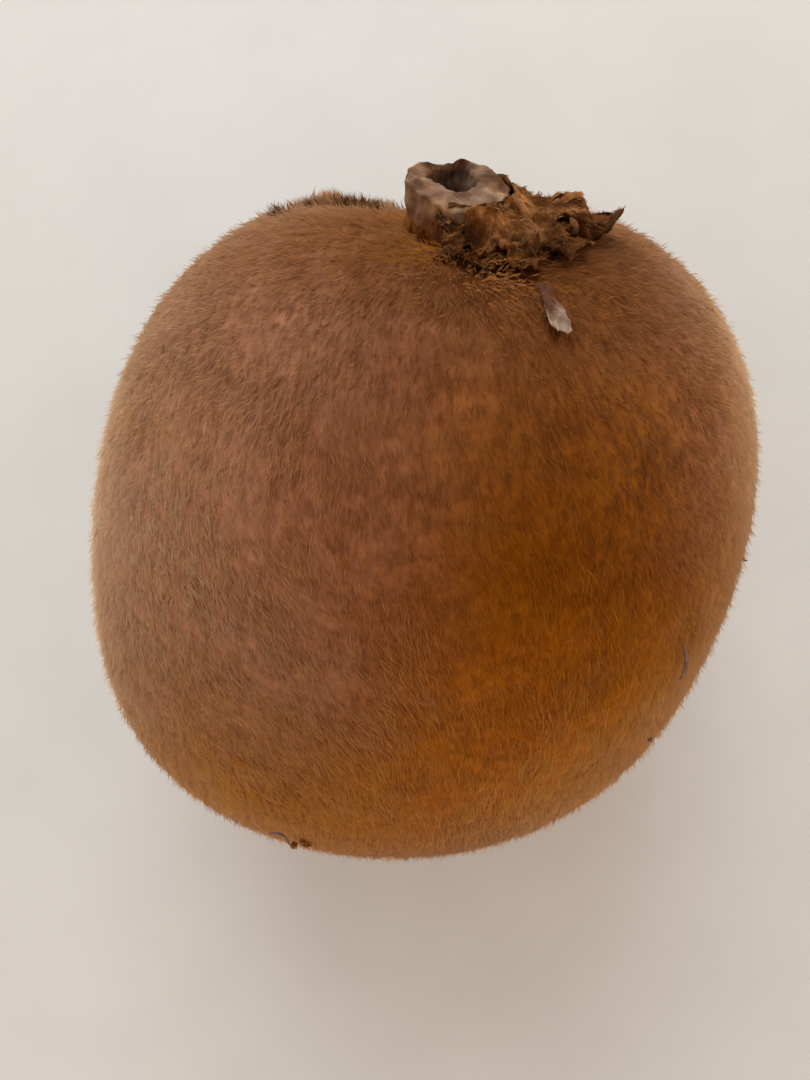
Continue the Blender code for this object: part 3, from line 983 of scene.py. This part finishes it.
def withered_sheet(shape, seed, rows=64, columns=44):
    """Top and bottom grids of a withered leaf that lies crumpled on the skin beside the stub."""
    turn, half_angle, *sizes = shape
    start, length, tip_lift, hump = np.array(sizes) * MM
    along, across = sheet_grid(rows, columns)
    edge = stacked(2.6 * along, 1.1 * across, 0.7)
    ragged = smooth_noise(edge, 0.45, seed)
    torn = smooth_noise(edge, 0.16, seed + 5)
    opening = math.radians(half_angle) * (1.05 - 0.40 * along**2.4) * (1 + 0.3 * ragged + 0.12 * torn)
    angle = math.radians(turn) + opening * across
    distance = start + along * length * (1 - 0.22 * across**2 * along + 0.10 * ragged + 0.05 * torn)
    spot = beside_stub(distance, angle)
    flat = raised(spot, 0.0)
    folds = 1 - 2.2 * np.abs(smooth_noise(flat, 2.6 * MM, seed + 1))
    creases = 1 - 2.2 * np.abs(smooth_noise(flat, 1.2 * MM, seed + 2))
    wrinkles = smooth_noise(flat, 0.42 * MM, seed + 3)
    lift = (0.55 * folds + 0.34 * creases + 0.13 * wrinkles) * MM
    lift = lift * np.minimum(1, 0.35 + 2 * along) + hump * np.exp(-(((along - 0.62) / 0.15) ** 2))
    lift += SEPAL_CLIMB * (1 - along) ** 3
    lift += 0.45 * MM * across**2 * along + 0.45 * MM
    lift *= 1 - hump / (1.45 * MM) * np.clip((along - 0.74) / 0.17, 0, 1)
    lift += tip_lift * along**8 * np.exp(-((across / 0.55) ** 2))
    lift += 0.35 * MM * along**1.5 * across * (1 - hump / MM)
    lift = np.maximum(lift, 0.12 * MM)
    drift = 0.5 * MM * smooth_noise(flat, 1.1 * MM, seed + 4) * along
    spot += drift[..., None] * np.array([0.6, -0.8])
    thin = SEPAL_THICKNESS * (1 - 0.5 * np.abs(across) ** 3) * (1.15 - 0.5 * along)
    return above_stem_end(spot, lift + thin), above_stem_end(spot, lift - 0.1 * thin)


def hairs_on_grid(grid, count, rng, aim=1):
    """Short hairs at random over a grid of points, which point roughly down its rows, or up them."""
    row = rng.uniform(0, grid.shape[0] - 1.01, count)
    column = rng.uniform(0, grid.shape[1] - 1.01, count)
    i = row.astype(int)
    j = column.astype(int)
    down_step = grid[i + 1, j] - grid[i, j]
    side_step = grid[i, j + 1] - grid[i, j]
    roots = grid[i, j] + (row - i)[:, None] * down_step + (column - j)[:, None] * side_step
    normals = unit(np.cross(down_step, side_step))
    swirl = rng.normal(0, 0.9, count)
    flow = unit(turned(aim * unit(down_step), unit(side_step), swirl))
    size = rng.uniform(0.2, 0.5, count) * MM
    lean = np.radians(rng.uniform(5, 40, count))
    width = np.full(count, 0.05 * MM)
    return hair_vertices(roots - 0.04 * MM * normals, normals, flow, size, width, lean, 0.2, 0.0), normals


def build_sepals(material, down):
    """The five sepals, each crumpled in its own way and matted with short brown down."""
    rng = np.random.default_rng(5)
    batches = []
    for seed, (name, shape) in enumerate(SEPALS.items()):
        top, bottom = withered_sheet(shape, 31 + 7 * seed)
        vertices, faces = sheet_solid(top, bottom)
        solid_piece("withered_" + name, posed(vertices), flipped(faces), material, [name], "sepal")

        _, half_angle, start, length, *_ = shape
        count = int(SEPAL_DOWN * length * start * half_angle)
        hairs, normals = hairs_on_grid(top, count, rng)
        roots = hairs[:, 0]
        height = np.linalg.norm(roots, axis=-1) - body_radius(unit(roots))
        patch = smooth_noise(roots, 1.5 * MM, 40 + seed)
        # paler the higher it stands above the skin: painted light on the crests and painted shade in the
        # creases
        tone = 0.24 + 0.50 * patch + 0.16 * height / MM + calyx_hair_tone_and_painted_shade(roots) + rng.normal(0, 0.08, count)
        batches.append((hairs, normals, tone, np.full(count, 0.45)))
    hair_piece("sepal_down", *map(np.concatenate, zip(*batches)), down, "sepal")


def build_calyx_shade_mat(material, down):
    """A dark sheet under the sepals and round the stub's foot, painted shade for the gaps between them,
    with brown down on it.
    """
    top, bottom = withered_sheet(CALYX_SHADE_MAT, 91, rows=44, columns=140)
    vertices, faces = sheet_solid(top - MAT_SINK, bottom - MAT_SINK)
    rng = np.random.default_rng(37)
    hairs, normals = hairs_on_grid(top - MAT_SINK, MAT_DOWN, rng)
    roots = hairs[:, 0]
    tones = 0.42 + 0.4 * smooth_noise(roots, 1.3 * MM, 38) + calyx_hair_tone_and_painted_shade(roots)
    tones += rng.normal(0, 0.1, MAT_DOWN)
    hair_piece("mat_down", hairs, normals, tones, 0.85, down, "sepal")
    solid_piece("calyx_shade_mat", posed(vertices), flipped(faces), material, [], "sepal")


def build_calyx_fibres(material):
    """Loose stiff fibres that stick out between the sepals."""
    rng = np.random.default_rng(19)
    strands = []
    for _ in range(CALYX_FIBRES):
        angle = math.radians(rng.uniform(-95, 55))
        distance = rng.uniform(3.4, 7.2) * MM
        reach = rng.uniform(0.6, 1.6) * MM
        heading = angle + rng.normal(0, 0.9)
        t = np.linspace(0, 1, 7)
        spot = beside_stub(distance, angle) + (reach * t)[:, None] * [math.cos(heading), math.sin(heading)]
        lift = 0.5 * MM + rng.uniform(0.3, 1.3) * MM * np.sin(rng.uniform(1.2, 2.6) * t)
        radius = rng.uniform(0.03, 0.06) * MM * (1 - 0.6 * t)
        strands.append(strand_solid(posed(above_stem_end(spot, lift)), radius))
    solid_piece("calyx_fibres", *joined(*strands), material, [], "sepal")


# -------- dried flower parts

def build_styles(material):
    """The dried styles: curled dark strands that spread out of the blossom dimple."""
    rng = np.random.default_rng(11)
    low = -0.5 * FRUIT_LENGTH + 1.2 * MM
    strands = []
    for i in range(STYLE_STRANDS):
        turn = 2 * math.pi * i / STYLE_STRANDS + rng.normal(0, 0.12)
        spread = rng.uniform(0.5, 2.3) * MM
        reach = rng.uniform(1.2, 2.6) * MM
        bend = rng.normal(0, 0.5)
        t = np.linspace(0, 1, 9)
        out = 0.5 * MM + spread * t**1.3
        angle = turn + bend * t**2
        depth = low - reach * np.sin(1.9 * t) * (0.9 if i % 2 else 0.6)
        path = posed(stacked(out * np.cos(angle), out * np.sin(angle), depth))
        strands.append(strand_solid(path, 0.17 * MM * (1 - 0.55 * t), sides=6))
    solid_piece("dried_styles", *joined(*strands), material, ["style_tuft"], "dry_style")


def skin_route(stops, count):
    """Points along a smooth route over the skin through stops of angle from the stem, turn and lift."""
    stops = np.array(stops, float)
    t = np.linspace(0, len(stops) - 1, count)
    smooth = [np.interp(t, np.arange(len(stops)), column) for column in stops.T]
    ways = directions(np.radians(smooth[0]), np.radians(smooth[1]))
    path = skin_points(ways, smooth[2] * MM)
    for _ in range(3):
        path[1:-1] = 0.25 * path[:-2] + 0.5 * path[1:-1] + 0.25 * path[2:]
    return path


def build_petal_scrap(material):
    """A thin crinkled scrap of petal, narrow at one end and with its edges curled up at the other."""
    along, across = sheet_grid(48, 26)
    start = on_skin(*SCRAP_START)
    end = on_skin(*SCRAP_END)
    forward = unit(end - start)
    outward = unit(start + end)
    aside = np.cross(outward, forward)
    flat = stacked(along, 0.4 * across, 0.0)
    ragged = smooth_noise(flat, 0.22, 61)
    crinkle = smooth_noise(flat, 0.12, 62)
    waves = smooth_noise(flat, 0.4, 63)
    half_width = SCRAP_WIDTH * (0.18 + 0.30 * np.sin(2.2 * along**1.2) ** 2) * (1 + 0.45 * ragged)
    length = np.linalg.norm(end - start)
    base = start + forward * (length * along * (1 + 0.06 * ragged))[..., None]
    base += aside * (half_width * across)[..., None]
    ways = unit(base)
    lift = 0.34 + 0.40 * across**2 * along + 0.20 * crinkle + 0.30 * waves + 0.2 * along**2
    lift = np.maximum(lift, 0.1) * MM
    thin = 0.09 * MM * (1 - 0.6 * np.abs(across) ** 2)
    vertices, faces = sheet_solid(skin_points(ways, lift + thin), skin_points(ways, lift))
    solid_piece("papery_scrap", posed(vertices), faces, material, ["petal_scrap"], "petal")


def build_dried_curl(fibre, crumb):
    """A short grey fibre with a brown crumb and a tan flake caught in the fuzz near the blossom end."""
    path = posed(skin_route(CURL_STOPS, 18))
    t = np.linspace(0, 1, len(path))
    strand = strand_solid(path, 0.11 * MM * (1 - 0.45 * np.abs(2 * t - 1)), sides=8)
    lump = crumb_solid(posed(on_skin(*CRUMB_SPOT, 0.75 * MM)), np.array([0.34, 0.36, 0.30]) * MM, 71)
    flake = crumb_solid(posed(on_skin(*FLAKE_SPOT, 0.40 * MM)), np.array([0.56, 0.30, 0.26]) * MM, 93)
    solids = joined(strand, lump, flake)
    piece = solid_piece("flower_crumb", *solids, fibre, ["dried_curl"], "dry_style")
    second_material(piece, crumb, len(strand[0]))


def build_stray_fibres(material):
    """A few grey-brown fibres and crumbs that cling to the fuzz of the right flank."""
    t = np.linspace(0, 1, 16)
    radius = 0.17 * MM * (1 - 0.7 * np.abs(2 * t - 1) ** 2)
    solids = [strand_solid(posed(skin_route(stops, 16)), radius, sides=6) for stops in STRAY_FIBRES]
    for k, (from_stem, turn, size) in enumerate(STRAY_CRUMBS):
        middle = posed(on_skin(from_stem, turn, 0.5 * MM))
        solids.append(crumb_solid(middle, np.array([1.2, 0.9, 0.8]) * size * MM, 120 + 20 * k, count=4))
    solid_piece("stray_fibres", *joined(*solids), material, [], "dry_style")


def build_shoulder_scruff(fuzz, dark):
    """Tufts of rough fuzz on the left shoulder: one golden, others tan, grey-brown and dark."""
    rng = np.random.default_rng(23)
    kinds = (("shoulder_tufts", PALE_TUFTS, fuzz), ("shoulder_dark_tufts", DARK_TUFTS, dark))
    for name, tufts, material in kinds:
        batches = []
        for from_stem, turn, spread, count, size, tone, warmth in tufts:
            middle = on_skin(from_stem, turn)
            ways = unit(middle + rng.normal(0, spread * MM, (count, 3)))
            points, normals, downhill = skin_frames(ways)
            swirl = rng.normal(0, 1.2, count)
            aside = np.cross(normals, downhill)
            flow = turned(downhill, aside, swirl)
            length = size * MM * rng.uniform(0.6, 1.15, count)
            lean = np.radians(np.clip(rng.normal(52, 18, count), 8, 85))
            pull = 0.35 * (middle * 1.02 - points)
            width = np.full(count, 0.055 * MM)
            hairs = hair_vertices(points, normals, flow, length, width, lean, 0.1, pull)
            tones = tone + rng.normal(0, 0.08, count)
            batches.append((hairs, normals, tones, warmth + rng.normal(0, 0.05, count)))
        hair_piece(name, *map(np.concatenate, zip(*batches)), material, "skin")


# -------- everything

fuzz = hair_material(
    "kiwi_fuzz",
    ((0.13, 0.052, 0.030), (0.26, 0.120, 0.072), (0.44, 0.222, 0.140), (0.65, 0.40, 0.26)),
    ((0.16, 0.040, 0.0), (0.32, 0.090, 0.0), (0.50, 0.158, 0.0), (0.70, 0.30, 0.01)),
    sheen=1.0,
)
down = hair_material(
    "sepal_down",
    ((0.045, 0.011, 0.002), (0.15, 0.048, 0.011), (0.29, 0.120, 0.044), (0.48, 0.26, 0.125)),
    ((0.045, 0.010, 0.000), (0.17, 0.046, 0.003), (0.30, 0.098, 0.010), (0.46, 0.19, 0.035)),
    sheen=0.1,
)
sepal_brown = sepal_material()
build_skin()
build_fuzz(fuzz)
build_shoulder_scruff(fuzz, down)
build_stub(wood_material(), dry_material("sunken_pith"), down)
build_sepals(sepal_brown, down)
build_calyx_shade_mat(dry_material("painted_shade_fibres"), down)
build_calyx_fibres(sepal_brown)
build_styles(dry_material("dry_style"))
build_petal_scrap(petal_material())
build_dried_curl(dry_material("grey_fibre"), dry_material("brown_crumb"))
build_stray_fibres(dry_material("mauve_fibre"))
build_stage()
